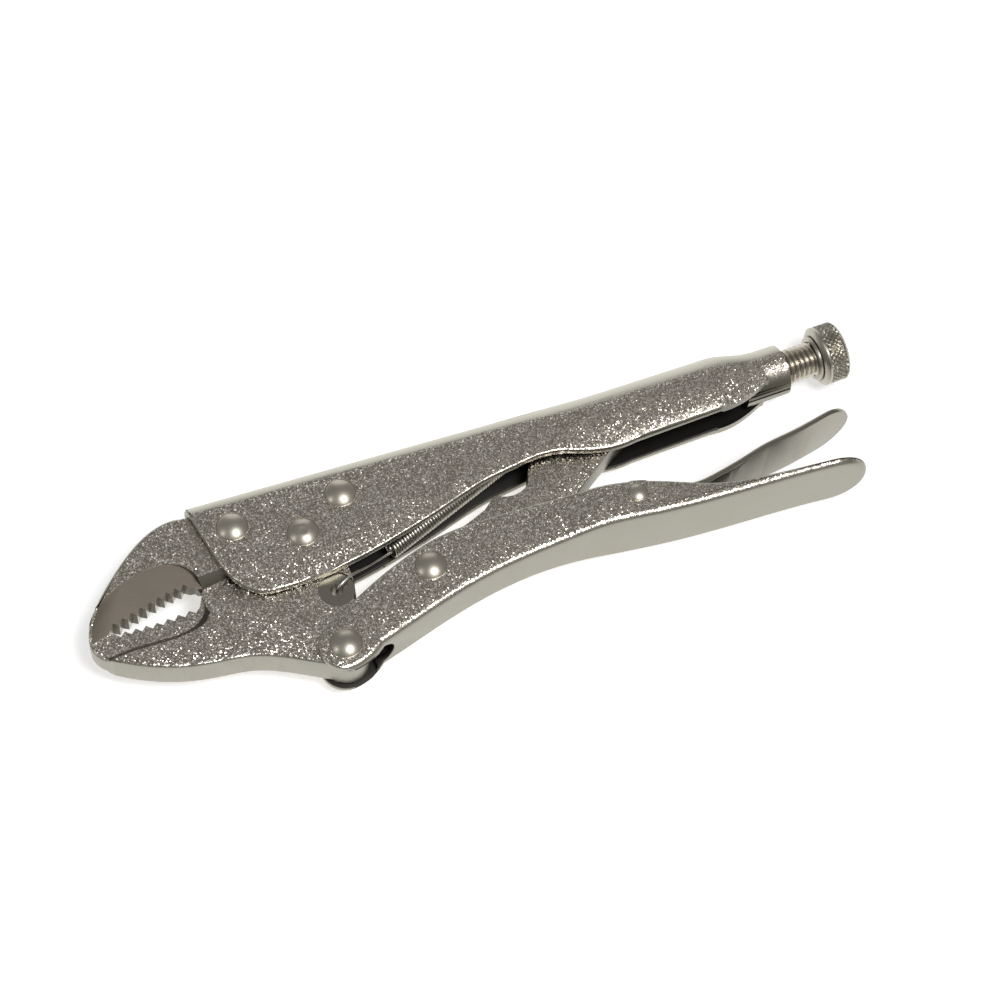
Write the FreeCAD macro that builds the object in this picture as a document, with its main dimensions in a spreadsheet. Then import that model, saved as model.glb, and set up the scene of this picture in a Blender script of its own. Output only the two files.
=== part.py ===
import FreeCAD, Part
import math
import os
import Sketcher
from FreeCAD import Placement, Rotation, Vector

# Curved-jaw locking pliers, 10 inch class, lying on one side and locked shut.
# The sizes below are in millimetres, from the jaw pivot: X runs back along the adjusting screw,
# Y towards the fixed upper handle and Z along the rivets. shift_x, shift_y and shift_z then move
# every piece together, so that the origin lies under the middle of the finished tool.

DRIVING_SIZES = {
    # places of the pivots and rivets
    "handle_pivot_x": -1.1,
    "handle_pivot_y": -34.5,
    "link_pivot_x": 27.8,
    "link_pivot_y": -21.3,
    "lever_pivot_x": 86.8,
    "lever_pivot_y": -22.3,
    "front_rivet_x": -16.9,
    "front_rivet_y": 8.2,
    "rear_rivet_x": 13.3,
    "rear_rivet_y": 7.5,
    "screw_axis_y": 4.0,
    # lengths along the tool
    "nose_x": -62.3,
    "mouth_rear_x": -31.0,
    "channel_front_x": -26.5,
    "socket_front_x": 130.0,
    "socket_rear_x": 143.0,
    "lower_tail_x": 151.0,
    "lever_nose_x": 58.0,
    "lever_tail_x": 153.5,
    "link_tip_x": 95.0,
    # sheets and plates
    "jaw_thickness": 9.6,
    "upper_sheet": 2.3,
    "lower_sheet": 2.0,
    "lever_sheet": 1.5,
    "link_thickness": 8.0,
    "side_clearance": 0.2,
    # upper handle
    "upper_front_top": 19.8,
    "upper_middle_top": 15.1,
    "upper_rear_top": 13.6,
    "upper_front_bend": 5.0,
    "upper_rear_half": 8.0,
    "cheek_curl": 1.3,
    "cheek_foot_y": -6.0,
    "socket_radius": 7.1,
    "socket_round": 1.6,
    "seam_width": 0.7,
    "seam_depth": 0.9,
    "tab_width": 3.0,
    "tab_x": 72.0,
    # lower handle
    "lower_rear_half": 10.0,
    "lower_bend": 1.9,
    "ear_radius": 7.2,
    "notch_radius": 3.6,
    # release lever
    "lever_rear_half": 8.8,
    "lever_bend": 0.9,
    # rivets
    "rivet_radius": 3.0,
    "rivet_head_radius": 4.3,
    "rivet_flange": 0.35,
    "rivet_dome": 1.75,
    "small_rivet_radius": 1.7,
    "small_head_radius": 2.7,
    "small_dome": 1.0,
    "running_clearance": 0.05,
    # jaws
    "tooth_pitch": 2.85,
    "tooth_depth": 1.3,
    "jaw_gap": 0.3,
    "hub_radius": 8.0,
    "hub_clearance": 0.6,
    "recess_depth": 1.5,
    "cutter_depth": 1.5,
    # adjusting screw, knob and spring
    "screw_radius": 5.0,
    "screw_tip_gap": 2.2,
    "thread_shown": 10.4,
    "knob_radius": 8.4,
    "knob_length": 7.7,
    "knob_collar": 0.8,
    "spring_radius": 2.7,
    "spring_wire": 0.9,
    "spring_hole_x": 2.7,
    "spring_hole_y": -17.8,
    "spring_hole_radius": 1.7,
    "boss_radius": 5.0,
    # where the finished tool's own origin lies
    "shift_x": 0.0,
    "shift_y": 0.0,
    "shift_z": 0.0,
}

doc = FreeCAD.newDocument("locking_pliers")
sheet = doc.addObject("Spreadsheet::Sheet", "dims")
for row, (alias, number) in enumerate(DRIVING_SIZES.items(), start=1):
    sheet.set(f"A{row}", alias)
    sheet.set(f"B{row}", str(number))
    sheet.setAlias(f"B{row}", alias)
doc.recompute()


def size(alias):
    """The number that a cell of the sheet holds."""
    return float(sheet.get(alias))


def between(start, end, share):
    return start + (end - start) * share


# Outlines are loops of legs: to() is straight, round_to() an arc, flow() a smooth curve.


def to(x, y):
    return ("line", [(x, y)])


def round_to(middle, end):
    return ("arc", [middle, end])


def flow(*points):
    return ("curve", list(points))


def loop(start, *legs):
    """A closed run of edges from a start point through each leg."""
    edges = []
    here = Vector(*start, 0)
    for kind, points in legs:
        stops = [Vector(x, y, 0) for x, y in points]
        if kind == "line":
            edges.append(Part.LineSegment(here, stops[0]))
        elif kind == "arc":
            edges.append(Part.Arc(here, stops[0], stops[1]))
        else:
            spline = Part.BSplineCurve()
            spline.interpolate([here] + stops)
            edges.append(spline)
        here = stops[-1]
    first = Vector(*start, 0)
    if here.distanceToPoint(first) > 1e-6:
        edges.append(Part.LineSegment(here, first))
    return edges


def circle(x, y, radius):
    return [Part.Circle(Vector(x, y, 0), Vector(0, 0, 1), radius)]


def origin_plane(body, role):
    return next(f for f in body.Origin.OriginFeatures if f.Role == role)


def new_body(name):
    return doc.addObject("PartDesign::Body", name)


def sketch_on(body, name, edges, plane="XY_Plane", height=None, sizes=None):
    """A sketch on one of the body's own planes, lifted by an expression if height is given."""
    sketch = body.newObject("Sketcher::SketchObject", name)
    sketch.AttachmentSupport = [(origin_plane(body, plane), "")]
    sketch.MapMode = "FlatFace"
    if height:
        sketch.setExpression("AttachmentOffset.Base.z", height)
    sketch.addGeometry(edges, False)
    if len(edges) > 1:
        # a sketch keeps every arc anticlockwise, so a clockwise one starts at its second point
        firsts = [
            1 if sketch.getPoint(index, 1).distanceToPoint(edge.StartPoint) < 1e-6 else 2
            for index, edge in enumerate(edges)
        ]
        for index, first in enumerate(firsts):
            following = (index + 1) % len(edges)
            joint = (index, 3 - first, following, firsts[following])
            sketch.addConstraint(Sketcher.Constraint("Coincident", *joint))
    else:
        place = edges[0].Center
        sketch.addConstraint(Sketcher.Constraint("DistanceX", 0, 3, place.x))
        sketch.addConstraint(Sketcher.Constraint("DistanceY", 0, 3, place.y))
        sketch.addConstraint(Sketcher.Constraint("Radius", 0, edges[0].Radius))
        for index, expression in enumerate(sizes or []):
            sketch.setExpression(f"Constraints[{index}]", expression)
    return sketch


def pad(body, name, edges, length, plane="XY_Plane", height=None, sizes=None, both_ways=True):
    """A pad of an outline, both ways from its plane or one way only; length is an expression."""
    feature = body.newObject("PartDesign::Pad", name)
    feature.Profile = sketch_on(body, f"{name}_sketch", edges, plane, height, sizes)
    feature.Midplane = both_ways
    feature.setExpression("Length", length)
    doc.recompute()
    return feature


def pocket(body, name, edges, length, plane="XY_Plane", height=None, sizes=None, both_ways=True,
           tilt=None, reverse=False):
    """A pocket that must take something away, or the build stops."""
    before = body.Shape.Volume
    feature = body.newObject("PartDesign::Pocket", name)
    sketch = sketch_on(body, f"{name}_sketch", edges, plane, height, sizes)
    if tilt:
        sketch.AttachmentOffset = tilt
    feature.Profile = sketch
    feature.Midplane = both_ways
    feature.Reversed = reverse
    feature.setExpression("Length", length)
    doc.recompute()
    if body.Shape.Volume > before - 1e-3:
        raise RuntimeError(f"{name} takes nothing away")
    return feature


def drill(body, name, x_cell, y_cell, radius):
    """A round hole right through along Z, at a place and of a radius taken from the sheet."""
    edges = circle(size(x_cell) if x_cell else 0.0, size(y_cell) if y_cell else 0.0, 1.0)
    places = [f"dims.{cell}" if cell else "0" for cell in (x_cell, y_cell)]
    pocket(body, name, edges, "60", sizes=places + [radius])


def mirror(body, name, feature, plane="XY_Plane"):
    """The same pocket again on the other side of one of the body's own planes."""
    before = body.Shape.Volume
    feature_copy = body.newObject("PartDesign::Mirrored", name)
    feature_copy.Originals = [feature]
    feature_copy.MirrorPlane = (origin_plane(body, plane), [""])
    body.Tip = feature_copy
    doc.recompute()
    if abs(body.Shape.Volume - before) < 1e-3:
        raise RuntimeError(f"{name} changes nothing")


def loft(body, kind, name, sections, plane="YZ_Plane"):
    """A straight-sided loft through outlines, each at an expression's distance from the plane."""
    feature = body.newObject(f"PartDesign::{kind}", name)
    sketches = [
        sketch_on(body, f"{name}_{index}", edges, plane, place)
        for index, (place, edges) in enumerate(sections)
    ]
    feature.Profile = sketches[0]
    feature.Sections = sketches[1:]
    feature.Ruled = True
    doc.recompute()
    return feature


def fillet(base, name, radius_cell, wanted):
    """A fillet on every edge that the test picks, in a body or on a boolean."""
    picked = [i for i, edge in enumerate(base.Shape.Edges, 1) if wanted(edge, base.Shape)]
    if not picked:
        raise RuntimeError(f"{name} finds no edges")
    feature = doc.addObject("Part::Fillet", name)
    feature.Base = base
    feature.Edges = [(i, size(radius_cell), size(radius_cell)) for i in picked]
    doc.recompute()
    return feature


def combine(kind, name, base, tool):
    feature = doc.addObject(f"Part::{kind}", name)
    feature.Base = base
    feature.Tool = tool
    doc.recompute()
    return feature


def drilled(base, name, holes):
    """The piece with round rivet holes cut through it along Z, each a running fit on its rivet."""
    for index, (x_cell, y_cell, radius_cell) in enumerate(holes):
        bit = doc.addObject("Part::Cylinder", f"{name}_bit_{index}")
        bit.setExpression("Radius", f"dims.{radius_cell} + dims.running_clearance")
        bit.setExpression("Placement.Base.x", f"dims.{x_cell}")
        bit.setExpression("Placement.Base.y", f"dims.{y_cell}")
        bit.Height = 2 * FAR
        bit.Placement.Base.z = -FAR
        doc.recompute()
        base = combine("Cut", f"{name}_drilled_{index}", base, bit)
    return base


sub_parts = []


def finish(feature, label, **places):
    """Marks a sub-part that is written to its own file, and ties its place to the sheet's cells."""
    feature.Label = label
    for axis in "xyz":
        here = f"dims.shift_{axis}"
        if axis in places:
            here = f"{here} + {places[axis]}"
        feature.setExpression(f"Placement.Base.{axis}", here)
    sub_parts.append(feature)


JAW_HALF = size("jaw_thickness") / 2
INNER_HALF = JAW_HALF + size("side_clearance")
UPPER_HALF = INNER_HALF + size("upper_sheet")
LOWER_HALF = INNER_HALF + size("lower_sheet")
FAR = 30.0  # beyond the edge of any piece, for cuts that run clear


# ---------------------------------------------------------------- upper handle

def channel_section(half, top, bend, bottom, curl):
    """An upside-down U in Y and Z: cheeks that curl in at the foot, rounded shoulders, a crown."""
    bend = min(bend, half - 0.2)
    slant = bend * (1 - math.sqrt(0.5))
    turn = top - bend - 0.5
    foot = size("cheek_foot_y")
    middle = between(turn, foot, 0.5)
    return loop(
        (bottom, curl - half),
        to(foot, curl - half),
        round_to((middle, curl * 0.25 - half), (turn, -half)),
        to(top - bend, -half),
        round_to((top - slant, -half + slant), (top, bend - half)),
        to(top, half - bend),
        round_to((top - slant, half - slant), (top - bend, half)),
        to(turn, half),
        round_to((middle, half - curl * 0.25), (foot, half - curl)),
        to(bottom, half - curl),
    )


def smooth(share):
    """0 to 1 with level ends."""
    return share * share * (3 - 2 * share)


def upper_stations(wall):
    """Half-width, crown, shoulder and curl of the folded sheet along its length, less a wall."""
    front = size("channel_front_x") - 3
    middle = size("lever_nose_x") + 2
    bulge = middle + 32
    neck = size("socket_front_x") - 7
    rear_top = size("upper_rear_top")
    rear_half = size("upper_rear_half")
    socket_half = size("socket_radius")
    socket_top = size("screw_axis_y") + socket_half
    shoulder = size("upper_front_bend")
    flat = 0.02
    curl = size("cheek_curl")
    rows = [
        (front, UPPER_HALF, size("upper_front_top"), shoulder, flat),
        (middle, UPPER_HALF, size("upper_middle_top"), shoulder + 0.6, flat),
    ]
    for step in range(1, 5):
        share = smooth(step / 4)
        rows.append((between(middle, bulge, step / 4), between(UPPER_HALF, rear_half, share),
                     between(size("upper_middle_top"), rear_top + 0.4, step / 4),
                     between(shoulder + 0.6, rear_half, share), between(flat, curl, share)))
    for step in range(7):
        share = smooth(step / 6)
        rows.append((between(neck, neck + 13, step / 6), between(rear_half, socket_half, share),
                     between(rear_top, socket_top, share), rear_half, curl))
    return [(x, half - wall, top - wall, bend - wall, inward) for x, half, top, bend, inward in rows]


def make_upper_handle():
    body = new_body("upper_handle_body")
    sections = [
        (f"{x}", channel_section(half, top, bend, -FAR, curl))
        for x, half, top, bend, curl in upper_stations(0)
    ]
    loft(body, "AdditiveLoft", "upper_skin", sections)
    inner = [
        (f"{x}", channel_section(half, top, bend, -FAR - 5, curl))
        for x, half, top, bend, curl in upper_stations(size("upper_sheet"))
    ]
    loft(body, "SubtractiveLoft", "upper_hollow", inner)
    front = size("channel_front_x")
    neck = size("socket_front_x")
    middle = size("lever_nose_x")
    edge = loop(
        (front - 20, -FAR - 10),
        to(neck + 20, -FAR - 10),
        to(neck + 20, -1.6),
        to(neck + 5, -1.6),
        flow((neck + 1, -3.3), (neck - 4, -4.7), (neck - 10, -5.0)),
        to(middle + 36, -5.5),
        flow((middle + 26, -5.1), (middle + 21.6, -3.9), (middle + 16.3, -1.9), (middle + 9, -0.9),
             (middle + 2, -1.6), (middle - 6, -2.6), (middle - 20, -6.3), (middle - 31, -9.1),
             (middle - 47, -12.4), (-1.2, -13.6), (-12.0, -13.4)),
        flow((-17.8, -11.4), (-21.4, -7.0), (front + 2.3, 2.1)),
        to(front, 17.0),
        to(front - 1, FAR),
        to(front - 20, FAR),
    )
    pocket(body, "upper_edge", edge, "60")
    axis_y = size("screw_axis_y")
    pad(body, "upper_socket", circle(axis_y, 0, 1), "dims.socket_rear_x - dims.socket_front_x",
        "YZ_Plane", "dims.socket_front_x", ["dims.screw_axis_y", "0", "dims.socket_radius"], False)
    tab_top = size("upper_middle_top") - 1
    tab_low = axis_y + 1.4
    tab_x = size("tab_x")
    tab = loop((tab_x, tab_top), to(tab_x, tab_low), to(tab_x + 1.8, tab_low), to(tab_x + 1.8, tab_top))
    pad(body, "upper_spring_tab", tab, "dims.tab_width")
    pocket(body, "upper_bore", circle(axis_y, 0, 1), "dims.socket_rear_x", "YZ_Plane",
           "dims.socket_rear_x + 1", ["dims.screw_axis_y", "0",
                                      "dims.screw_radius + dims.running_clearance"], False)
    seam_top = axis_y - size("socket_radius") + size("seam_depth")
    width = size("seam_width")
    seam = loop((seam_top, 0.4), to(seam_top, 0.4 + width), to(-FAR, 0.4 + width), to(-FAR, 0.4))
    pocket(body, "upper_seam", seam, "dims.socket_rear_x", "YZ_Plane", "dims.socket_rear_x + 1",
           both_ways=False)
    hole = "dims.rivet_radius + dims.running_clearance"
    drill(body, "upper_pivot_hole", None, None, hole)
    drill(body, "upper_front_hole", "front_rivet_x", "front_rivet_y", hole)
    drill(body, "upper_rear_hole", "rear_rivet_x", "rear_rivet_y", hole)
    finish(body, "upper_handle")


# ---------------------------------------------------------------- jaws

def teeth(first, last, depth):
    """Saw teeth from one crest to another: depth is measured in Y, with its sign."""
    run = math.hypot(last[0] - first[0], last[1] - first[1])
    count = max(2, round(run / size("tooth_pitch")))
    legs = []
    for index in range(count):
        root = (index + 0.5) / count
        crest = (index + 1) / count
        legs.append(to(between(first[0], last[0], root), between(first[1], last[1], root) + depth))
        legs.append(to(between(first[0], last[0], crest), between(first[1], last[1], crest)))
    return legs


def make_upper_jaw():
    body = new_body("upper_jaw_body")
    nose = size("nose_x")
    mouth = size("mouth_rear_x")
    front = size("channel_front_x")
    relief = size("hub_radius") + size("hub_clearance")
    half_gap = size("jaw_gap") / 2

    def back(share):
        """A place along the jaw's outer curve, from the nose to the channel."""
        return between(nose, front, share)

    first_tooth = (between(nose, mouth, 0.2), -6.9)
    middle_tooth = (between(nose, mouth, 0.71), -3.0)
    last_tooth = (mouth - 1.8, -2.0)
    outline = loop(
        (nose, -9.05 + half_gap),
        flow((back(0.035), -4.5), (back(0.117), -0.3), (back(0.27), 5.4), (back(0.46), 11.2),
             (back(0.634), 15.2), (back(0.79), 17.2), (back(0.92), 17.3), (front + 0.8, 15.4)),
        to(front + 2, 14.0),
        to(size("rear_rivet_x"), 12.6),
        round_to((size("rear_rivet_x") + 5.6, 10.6), (size("rear_rivet_x") + 7.4, 6.0)),
        to(size("rear_rivet_x") + 6, 2.4),
        to(relief * math.cos(0.28), relief * math.sin(0.28)),
        round_to((0, relief), (-relief, -0.6 + half_gap)),
        to(mouth + 12, -2.9 + half_gap),
        to(mouth + 1.5, -4.35 + half_gap),
        to(mouth + 0.5, -3.9),
        to(mouth - 0.5, -2.3),
        to(*last_tooth),
        *teeth(last_tooth, middle_tooth, size("tooth_depth")),
        *teeth(middle_tooth, first_tooth, size("tooth_depth")),
        to(between(nose, mouth, 0.17), -7.9 + half_gap),
    )
    pad(body, "upper_jaw_plate", outline, "dims.jaw_thickness")
    # the smooth relief slopes down to the teeth, so its floor is a plane tilted about the mouth
    mouth_angle = 17.0
    slope = 13.0
    centre = Vector(between(nose, mouth, 0.49), -4.5, JAW_HALF - size("recess_depth"))
    turned = Rotation(Vector(0, 0, 1), mouth_angle) * Rotation(Vector(1, 0, 0), slope)
    lift = 2.6 * math.tan(math.radians(slope))
    tilt = Placement(centre + Vector(0, 0, -lift), turned)
    long = (mouth - nose) / 31.3
    lens = loop(
        (-20 * long, -8.0),
        to(-20 * long, 1.0),
        flow((-12.5 * long, 6.2), (-1.1 * long, 9.0), (8.4 * long, 8.3), (13.6 * long, 6.2),
             (16.6 * long, 2.4), (17.1 * long, -2.0)),
        to(17.1 * long, -8.0),
    )
    relief_cut = pocket(body, "upper_jaw_relief", lens, "20", both_ways=False, tilt=tilt,
                        reverse=True)
    mirror(body, "upper_jaw_relief_far", relief_cut)
    bevel = loop((-8.0, 0.4), to(-4.35, 0.4), to(-1.0, JAW_HALF + 0.3), to(-8.0, JAW_HALF + 0.3))
    bevel_cut = pocket(body, "upper_cutter", bevel, "16", "YZ_Plane", "dims.mouth_rear_x",
                       both_ways=False, reverse=True)
    mirror(body, "upper_cutter_far", bevel_cut)
    hole = "dims.rivet_radius + dims.running_clearance"
    drill(body, "jaw_front_hole", "front_rivet_x", "front_rivet_y", hole)
    drill(body, "jaw_rear_hole", "rear_rivet_x", "rear_rivet_y", hole)
    finish(body, "upper_jaw")


def make_lower_jaw():
    body = new_body("lower_jaw_body")
    nose = size("nose_x")
    mouth = size("mouth_rear_x")
    hub = size("hub_radius")
    pivot_x = size("handle_pivot_x")
    pivot_y = size("handle_pivot_y")
    lug = size("ear_radius") - 1.2
    half_gap = size("jaw_gap") / 2

    def back(share):
        """A place along the jaw's outer curve, from the nose to the handle pivot."""
        return between(nose, pivot_x, share)

    first_tooth = (between(nose, mouth, 0.22), -8.4)
    middle_tooth = (between(nose, mouth, 0.58), -9.3)
    last_tooth = (mouth - 1.2, -9.0)
    boss_x = size("spring_hole_x") + size("boss_radius")
    outline = loop(
        (nose, -9.05 - half_gap),
        to(between(nose, mouth, 0.16), -7.9 - half_gap),
        to(*first_tooth),
        *teeth(first_tooth, middle_tooth, -size("tooth_depth")),
        *teeth(middle_tooth, last_tooth, -size("tooth_depth")),
        to(mouth + 0.7, -5.6),
        to(mouth + 1.2, -4.35 - half_gap),
        to(mouth + 12, -2.9 - half_gap),
        to(-hub, -0.6 - half_gap),
        round_to((0, hub), (hub, 0)),
        to(boss_x + 0.2, -14.0),
        to(boss_x, size("spring_hole_y")),
        flow((boss_x - 1.6, -24.5), (pivot_x + lug, pivot_y)),
        round_to((pivot_x, pivot_y - lug), (pivot_x - lug * 0.8, pivot_y - lug * 0.6)),
        flow((back(0.79), -33.1), (back(0.695), -29.9), (back(0.61), -27.9), (back(0.49), -26.6),
             (back(0.31), -24.1), (back(0.17), -20.3), (back(0.065), -16.2), (back(0.015), -13.2),
             (nose, -9.05 - half_gap)),
    )
    pad(body, "lower_jaw_plate", outline, "dims.jaw_thickness")
    long = (mouth - nose) / 31.3

    def cove(points, left, right):
        return loop((left, 3.0), to(left, points[0][1] - 1.0),
                    flow(*[(nose + x * long, y) for x, y in points]), to(right, 3.0))

    rim = cove([(3.5, -15.9), (9.9, -15.6), (18.8, -16.1), (26.0, -15.8), (30.4, -14.0),
                (32.4, -11.2), (32.5, -6.0)], nose - 6, nose + 32.5 * long)
    floor = cove([(5.0, -14.3), (10.5, -14.0), (18.6, -14.5), (25.4, -14.2), (29.0, -12.7),
                  (30.8, -10.6), (30.9, -5.8)], nose - 4.5, nose + 30.9 * long)
    depth = "dims.jaw_thickness / 2 - dims.recess_depth"
    before = body.Shape.Volume
    relief = loft(body, "SubtractiveLoft", "lower_jaw_relief",
                  [("dims.jaw_thickness / 2 + 0.01", rim), (depth, floor)], "XY_Plane")
    if body.Shape.Volume > before - 1:
        raise RuntimeError("lower_jaw_relief takes nothing away")
    mirror(body, "lower_jaw_relief_far", relief)
    step = loop((mouth + 0.4, -11.4), to(mouth + 0.2, -2.0), to(mouth + 11.4, -1.0),
                to(mouth + 10.4, -11.2))
    blade = pocket(body, "lower_cutter", step, "dims.cutter_depth", "XY_Plane",
                   "dims.jaw_thickness / 2", both_ways=False)
    mirror(body, "lower_cutter_far", blade)
    place = (size("spring_hole_x"), size("spring_hole_y"))
    cells = ["dims.spring_hole_x", "dims.spring_hole_y"]
    boss = pocket(body, "spring_boss", circle(*place, 1), "0.5", "XY_Plane",
                  "dims.jaw_thickness / 2", cells + ["dims.boss_radius"], False)
    mirror(body, "spring_boss_far", boss)
    hole = "dims.rivet_radius + dims.running_clearance"
    drill(body, "lower_jaw_pivot_hole", None, None, hole)
    drill(body, "lower_jaw_lug_hole", "handle_pivot_x", "handle_pivot_y", hole)
    drill(body, "lower_jaw_spring_hole", "spring_hole_x", "spring_hole_y", "dims.spring_hole_radius")
    finish(body, "lower_jaw")


# ---------------------------------------------------------------- folded sheet, open on one side

def plan_outline(front, stations, tail, half):
    """A plan in X and Z: half-widths at stations, then a round tail of the given half-width."""
    near = [(x, -z) for x, z in stations]
    far = [(x, z) for x, z in reversed(stations)]
    return loop(
        (front, near[0][1]),
        to(*near[0]),
        flow(*near[1:]),
        to(tail - half, -half),
        round_to((tail, 0), (tail - half, half)),
        to(*far[0]),
        flow(*far[1:]),
        to(front, far[-1][1]),
    )


def folded_sheet(name, side, plan, hollow_side, hollow_plan, bend_cell, is_bend):
    """A sheet folded to a U: side view and plan view crossed, its bends rounded, then hollowed."""
    solids = []
    for part_name, edges, plane in ((f"{name}_side", side, "XY_Plane"), (f"{name}_plan", plan, "XZ_Plane"),
                                    (f"{name}_hollow_side", hollow_side, "XY_Plane"),
                                    (f"{name}_hollow_plan", hollow_plan, "XZ_Plane")):
        body = new_body(f"{part_name}_body")
        pad(body, part_name, edges, "140", plane)
        solids.append(body)
    skin = combine("Common", f"{name}_skin", solids[0], solids[1])
    rounded = fillet(skin, f"{name}_bends", bend_cell, is_bend)
    hollow = combine("Common", f"{name}_hollow", solids[2], solids[3])
    return combine("Cut", f"{name}_shell", rounded, hollow)


def shared_edge(kind):
    """Picks the edges between a face that faces up or down and an upright side face."""
    def wanted(edge, shape):
        faces = shape.ancestorsOfType(edge, Part.Face)
        if len(faces) != 2:
            return False
        middle = edge.valueAt((edge.FirstParameter + edge.LastParameter) / 2)
        leans = [face.normalAt(*face.Surface.parameter(middle)) for face in faces]
        sides = [n for n in leans if abs(n.y) < 0.01 and abs(n.z) > 0.2]
        flats = [n for n in leans if abs(n.z) < 0.01 and n.y * kind > 0.3]
        return len(sides) == 1 and len(flats) == 1
    return wanted


# ---------------------------------------------------------------- lower handle

def make_lower_handle():
    pivot_x = size("handle_pivot_x")
    pivot_y = size("handle_pivot_y")
    ear = size("ear_radius")
    tail = size("lower_tail_x")
    wall = size("lower_sheet")
    lever_x = size("lever_pivot_x")
    top = [(5.0, -23.5), (16.2, -18.6), (25.5, -15.5), (33.0, -13.8), (43.2, -13.3), (58.0, -14.0),
           (72.0, -15.8), (lever_x - 8, -16.7), (lever_x + 1.8, -19.0), (lever_x + 10.8, -22.6),
           (lever_x + 20, -26.6), (tail - 36.3, -28.7), (tail - 25.4, -30.3), (tail - 17, -31.2),
           (tail - 8, -32.1), (tail, -33.2)]
    base = [(pivot_x + 9.5, -37.7), (24.6, -33.3), (39.2, -29.9), (54.0, -28.1), (66.0, -27.8),
            (74.0, -28.1), (81.0, -28.9), (lever_x + 4, -30.3), (lever_x + 12, -31.2),
            (lever_x + 22, -32.0), (tail - 23, -33.1), (tail - 10, -34.2), (tail, -35.6)]
    side = loop(
        (pivot_x, pivot_y - ear),
        round_to((pivot_x - ear, pivot_y), (pivot_x - ear * 0.42, pivot_y + ear * 0.907)),
        flow(*top),
        to(*base[-1]),
        flow(*reversed(base[:-1])),
        flow((pivot_x + 4.6, pivot_y - ear + 1.1), (pivot_x, pivot_y - ear)),
    )
    floor = [(x, y + wall) for x, y in base]
    hollow_side = loop(
        (pivot_x - FAR, pivot_y - FAR),
        to(pivot_x + 6.5, pivot_y - FAR),
        to(floor[0][0] - 2.5, floor[0][1]),
        flow(*floor),
        to(tail + FAR, floor[-1][1]),
        to(tail + FAR, FAR),
        to(pivot_x - FAR, FAR),
    )
    half = size("lower_rear_half")
    widths = [(50.0, LOWER_HALF), (58.0, LOWER_HALF + 0.25), (66.0, between(LOWER_HALF, half, 0.35)),
              (74.0, between(LOWER_HALF, half, 0.78)), (lever_x - 5, half)]
    plan = plan_outline(pivot_x - FAR, widths, tail, half)
    inner = [(x, z - wall) for x, z in widths]
    hollow_plan = plan_outline(pivot_x - FAR - 5, inner, tail - wall, half - wall)
    shell = folded_sheet("lower", side, plan, hollow_side, hollow_plan, "lower_bend", shared_edge(-1))
    radius = size("notch_radius") + 0.8
    notch = loop((pivot_x - FAR, -radius), to(base[0][0] - 1.5, -radius),
                 round_to((base[0][0] - 1.5 + radius, 0), (base[0][0] - 1.5, radius)),
                 to(pivot_x - FAR, radius))
    cutter = new_body("lower_notch_body")
    pad(cutter, "lower_notch", notch, "dims.notch_radius * 40", "XZ_Plane")
    shell = combine("Cut", "lower_notched", shell, cutter)
    finish(drilled(shell, "lower_handle", [
        ("handle_pivot_x", "handle_pivot_y", "rivet_radius"),
        ("link_pivot_x", "link_pivot_y", "rivet_radius"),
        ("lever_pivot_x", "lever_pivot_y", "small_rivet_radius"),
    ]), "lower_handle")


# ---------------------------------------------------------------- toggle link and release lever

def make_toggle_link():
    body = new_body("toggle_link_body")
    eye_x = size("link_pivot_x")
    eye_y = size("link_pivot_y")
    tip = size("link_tip_x")
    tip_y = size("screw_axis_y")
    eye = size("rivet_radius") + 3.0
    round_tip = 4.4
    outline = loop(
        (eye_x - 3.3, eye_y + 5.0),
        flow((34.0, -14.0), (42.5, -11.5), (48.2, -9.4)),
        to(51.8, -6.7),
        to(53.5, -7.0),
        flow((57.0, -8.0), (60.5, -7.3), (62.6, -5.0)),
        flow((66.0, 0.1), (72.0, 2.4), (tip - 10, 5.6), (tip - 3, tip_y + 4.1)),
        flow((tip, tip_y + round_tip), (tip + round_tip * 0.8, tip_y + round_tip * 0.55),
             (tip + round_tip, tip_y), (tip + round_tip * 0.85, tip_y - round_tip * 0.6),
             (tip + 1.5, tip_y - 4.1)),
        to(tip - 6.1, -3.7),
        to(72.5, -14.1),
        to(66.0, -17.6),
        flow((50.0, -20.5), (38.0, -24.0), (eye_x + 1.2, eye_y - eye + 0.1)),
        round_to((eye_x - eye * 0.72, eye_y - eye * 0.69), (eye_x - eye, eye_y)),
        to(eye_x - 3.3, eye_y + 5.0),
    )
    pad(body, "toggle_link_plate", outline, "dims.link_thickness")
    drill(body, "toggle_link_eye", "link_pivot_x", "link_pivot_y",
          "dims.rivet_radius + dims.running_clearance")
    finish(body, "toggle_link")


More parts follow.
